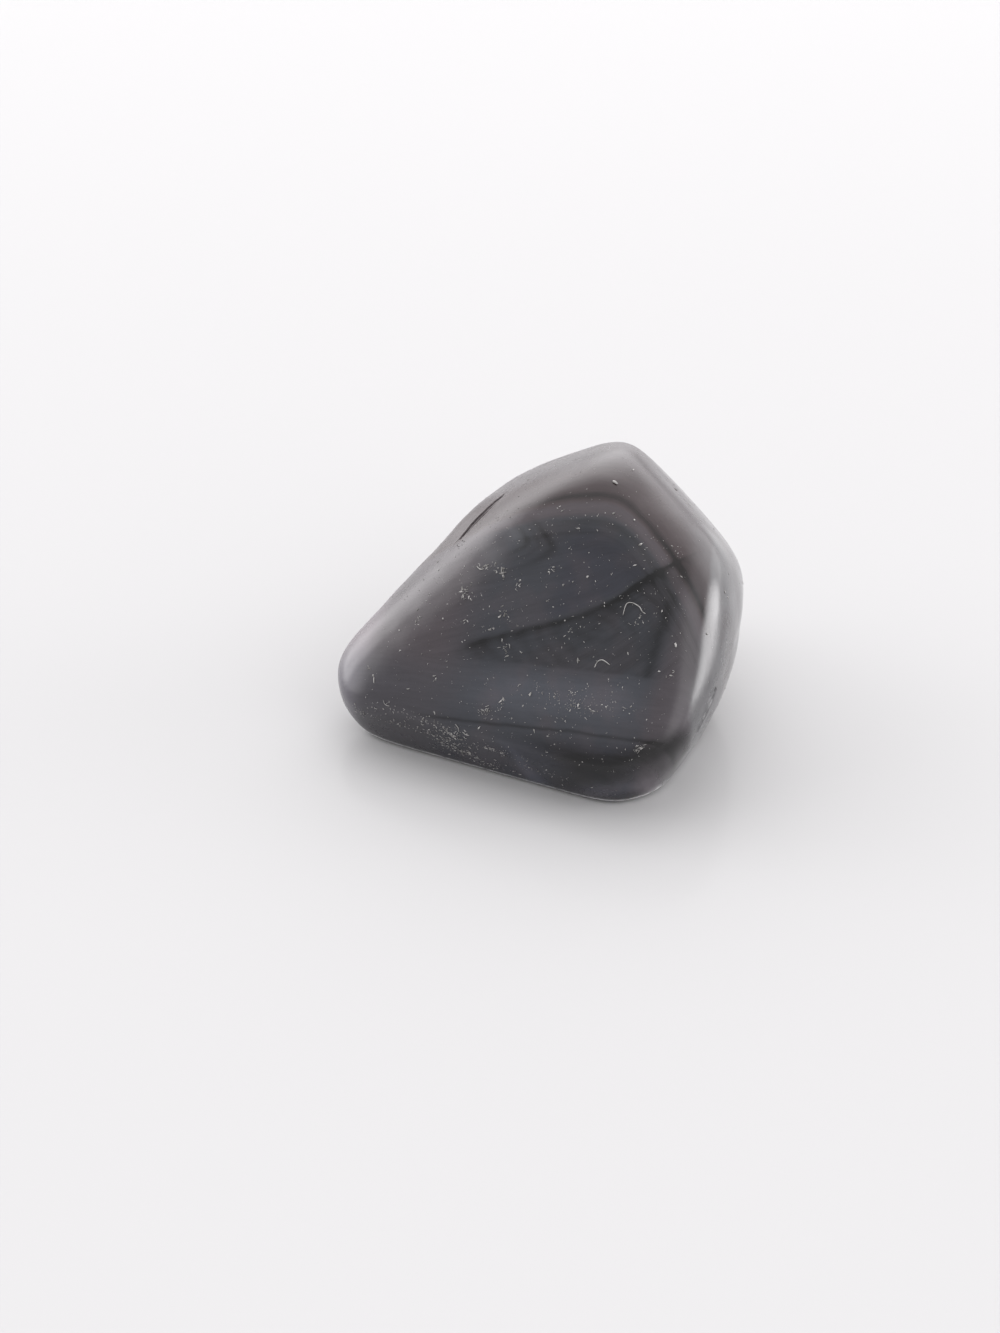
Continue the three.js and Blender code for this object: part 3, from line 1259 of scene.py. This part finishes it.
@dataclass
class LintStrands:
    """Fine fibres lying on the face: a few named curls, one of them a painted glint, and many short crumbs.

    Attributes:
        surface: The worn surface.
        axes: The broad face's axes.
        finish: The lint's finish.
        curls: The fibres that have a route of their own, with the painted glint.
        crumbs: How many short ones lie in the dirt patches.
        sides: Corners round a fibre.
        seed: Start of the random draws.
    """

    surface: WornSurface
    axes: FaceAxes
    finish: DirtFinish
    curls: Sequence[LintCurl] = LINT_CURLS_AND_GLINT
    crumbs: int = 130
    sides: int = 6
    seed: int = 23

    def crumb_curls(self, draw: np.random.Generator) -> list[LintCurl]:
        """Short bent crumbs in the dirt patches.

        Args:
            draw: The random draws.

        Returns:
            The crumbs.
        """
        made = []
        weights = np.array([patch.count * patch.size for patch in DIRT_PATCHES])
        for _ in range(self.crumbs):
            patch = DIRT_PATCHES[draw.choice(len(DIRT_PATCHES), p=weights / weights.sum())]
            spread = np.array(patch.spread) * 0.6
            start = np.array([patch.right, patch.up]) + draw.normal(size=2) * spread
            heading = draw.uniform(0, 2 * math.pi)
            length = draw.uniform(0.10, 0.34)
            route = [tuple(start)]
            for _ in range(3):
                heading += draw.normal() * 0.7
                start = start + np.array([math.cos(heading), math.sin(heading)]) * length / 3
                route.append(tuple(start))
            made.append(LintCurl(tuple(route), draw.uniform(0.010, 0.022)))
        return made

    def tube(self, curl: LintCurl, draw: np.random.Generator) -> tuple[np.ndarray, np.ndarray]:
        """One fibre as a closed tube.

        Args:
            curl: The fibre.
            draw: The random draws.

        Returns:
            Its corners, in millimetres from the heart, and its triangles.
        """
        flat = smooth_route(np.array(curl.route), 5)
        directions = np.array([self.axes.direction(self.surface, *place) for place in flat])
        normals = self.surface.smooth_normals(directions)
        steps = np.linspace(0, 1, len(flat))
        lift = curl.radius * 0.7 + draw.uniform(0.0, 0.09) * np.sin(steps * math.pi)
        middles = self.surface.detailed_points(directions) + normals * lift[:, None]
        along = unit(np.gradient(middles, axis=0))
        across = unit(np.cross(normals, along))
        taper = curl.radius * (0.55 + 0.45 * np.sin(steps * math.pi) ** 0.4)
        angles = np.linspace(0, 2 * math.pi, self.sides, endpoint=False)
        round_it = (np.cos(angles)[None, :, None] * across[:, None]
                    + np.sin(angles)[None, :, None] * np.cross(along, across)[:, None])
        rings = middles[:, None] + taper[:, None, None] * round_it
        return rings.reshape(-1, 3), tube_faces(len(flat), self.sides)

    def build(self) -> bpy.types.Object:
        """Make every fibre as one joined mesh.

        Returns:
            The lint's piece.
        """
        draw = np.random.default_rng(self.seed)
        all_points, all_faces, used = [], [], 0
        for curl in (*self.curls, *self.crumb_curls(draw)):
            points, faces = self.tube(curl, draw)
            all_points.append(points)
            all_faces.append(faces + used)
            used += len(points)
        points = self.surface.to_frame(np.concatenate(all_points))
        return mesh_piece("lint", points, np.concatenate(all_faces), self.finish.material())


def smooth_route(points: np.ndarray, steps: int) -> np.ndarray:
    """Round off a route that is given by a few points.

    Args:
        points: The points it passes, one per row.
        steps: Points on each stretch of the result.

    Returns:
        The smooth route, one point per row.
    """
    padded = np.concatenate([2 * points[:1] - points[1:2], points, 2 * points[-1:] - points[-2:-1]])
    route = []
    for before, start, end, after in zip(padded, padded[1:], padded[2:], padded[3:]):
        for share in np.arange(steps) / steps:
            route.append(0.5 * (2 * start + (end - before) * share
                                + (2 * before - 5 * start + 4 * end - after) * share**2
                                + (3 * start - before - 3 * end + after) * share**3))
    route.append(points[-1])
    return np.array(route)


def tube_faces(rings: int, sides: int) -> np.ndarray:
    """Triangles of a tube of rings, closed at both ends.

    Args:
        rings: How many rings of corners.
        sides: Corners in each ring.

    Returns:
        The triangles, as corner numbers.
    """
    faces = []
    for ring in range(rings - 1):
        for side in range(sides):
            here, there = ring * sides + side, ring * sides + (side + 1) % sides
            faces.append((here, there, there + sides))
            faces.append((here, there + sides, here + sides))
    last = (rings - 1) * sides
    for side in range(1, sides - 1):
        faces.append((0, side + 1, side))
        faces.append((last, last + side, last + side + 1))
    return np.array(faces)


# ---------------------------------------------------------------- the studio


@dataclass(frozen=True)
class Glow:
    """A soft bright or dark part of the room.

    Attributes:
        name: What it is.
        turn: The way it lies, in degrees: 0 toward -Y, 90 toward +X.
        lift: How high it lies, in degrees above level.
        strength: What it adds to the room's light; below zero for a dark part.
        full: How far from its middle it is at full strength, in degrees.
        edge: How far from its middle it ends, in degrees.
    """

    name: str
    turn: float
    lift: float
    strength: float
    full: float
    edge: float


GLOWS = (
    Glow("ceiling at the back", 195, 66, 0.3, 10, 45),
    Glow("back wall", 178, 34, 2.8, 8, 40),
    Glow("left wall", 232, 12, 2.8, 6, 34),
    Glow("left wall, near end", 266, 22, 1.7, 5, 32),
    Glow("wall at the back right", 126, 16, 1.7, 5, 34),
    Glow("right window", 93, 3, 7.8, 5, 27),
    Glow("front right", 52, 28, 1.2, 5, 36),
    Glow("dark front left", 325, 36, -0.25, 10, 45),
)


@dataclass
class Studio:
    """A plain pale floor, soft light from all round and the camera.

    Attributes:
        low: Lowest corner of the stone's box.
        heart: The heart of the stone, in millimetres.
        aim_from_heart: Where the camera aims, in millimetres from the heart.
        elevation: The camera's angle above level, in degrees.
        distance: From the camera to what it aims at.
        lens: Focal length, in millimetres on a 36 mm long side.
        floor_radius: Size of the floor, in metres.
        base_light: The room's light before its bright and dark parts.
        least_light: The darkest that its dark parts can get.
        tint: The colour of the light.
        glows: The room's bright and dark parts.
    """

    low: Vector
    heart: np.ndarray
    aim_from_heart: tuple[float, float, float] = (-4.41, 1.28, -5.23)
    elevation: float = 33.0
    distance: float = 0.217
    lens: float = 83.7
    floor_radius: float = 3.0
    base_light: float = 0.85
    least_light: float = 0.05
    tint: Colour = (1.0, 0.985, 0.995)
    glows: Sequence[Glow] = GLOWS

    def floor(self) -> None:
        """Lay the floor: a round board under the stone."""
        board = bmesh.new()
        bmesh.ops.create_circle(board, cap_ends=True, radius=self.floor_radius, segments=96)
        mesh = bpy.data.meshes.new("floor")
        board.to_mesh(mesh)
        board.free()
        mesh.materials.append(FloorFinish().material())
        floor = bpy.data.objects.new("floor", mesh)
        bpy.context.scene.collection.objects.link(floor)
        floor.location.z = self.low.z

    def camera(self) -> None:
        """Set up the camera in front of the stone, looking down at it."""
        aim = Vector((self.heart + np.array(self.aim_from_heart)) * MM)
        above = math.radians(self.elevation)
        back = Vector((0.0, -math.cos(above), math.sin(above)))
        data = bpy.data.cameras.new("camera")
        data.lens = self.lens
        data.sensor_width = 36.0
        data.clip_start = 0.005
        data.clip_end = 20.0
        camera = bpy.data.objects.new("camera", data)
        camera.location = aim + back * self.distance
        camera.rotation_euler = back.to_track_quat("Z", "Y").to_euler()
        bpy.context.scene.collection.objects.link(camera)
        bpy.context.scene.camera = camera

    def surroundings(self) -> None:
        """Light the stone from a soft bright room with one dark side, at the front left."""
        world = bpy.data.worlds.new("soft_white_room")
        world.use_nodes = True
        bench = NodeBench(world.node_tree)
        direction = bench.node("ShaderNodeTexCoord").outputs["Generated"]
        strength: Number = self.base_light
        for glow in self.glows:
            near = bench.along(direction, facing(glow.turn, glow.lift))
            edge, full = math.cos(math.radians(glow.edge)), math.cos(math.radians(glow.full))
            strength = near.fade(edge, full) * glow.strength + strength
        background = bench.node("ShaderNodeBackground")
        bench.feed(background.inputs["Color"], self.tint)
        bench.feed(background.inputs["Strength"], strength.at_least(self.least_light))
        end = bench.node("ShaderNodeOutputWorld")
        bench.feed(end.inputs["Surface"], background.outputs[0])
        bpy.context.scene.world = world

    def build(self) -> None:
        """Lay the floor, set the camera and hang the lights."""
        self.camera()
        self.floor()
        self.surroundings()
        bpy.context.scene.view_settings.view_transform = "Standard"


def report(piece: bpy.types.Object) -> None:
    """Log a piece's name and how many faces it has."""
    LOG.info("%s: %d faces", piece.name, len(piece.data.polygons))


def write_sizes() -> None:
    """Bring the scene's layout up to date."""
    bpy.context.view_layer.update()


def main() -> None:
    """Build the stone, the dirt on it and the studio round it."""
    logging.basicConfig(level=logging.INFO, format="%(name)s: %(message)s")
    low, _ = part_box(STONE_NODE)
    surface = WornSurface(low)
    Studio(low, surface.heart).build()
    axes = FaceAxes.of(surface)
    report(StoneBody(surface, axes, ObsidianFinish()).build())
    dust = DirtFinish("pale_dust", pale=(0.42, 0.41, 0.40), dark=(0.15, 0.145, 0.14), roughness=0.9)
    report(DustFilm(surface, axes, dust).build())
    lint = DirtFinish("pale_lint_and_glint", pale=(0.42, 0.41, 0.40), dark=(0.22, 0.215, 0.21), roughness=0.8)
    report(LintStrands(surface, axes, lint).build())
    write_sizes()


if __name__ == "__main__":
    main()
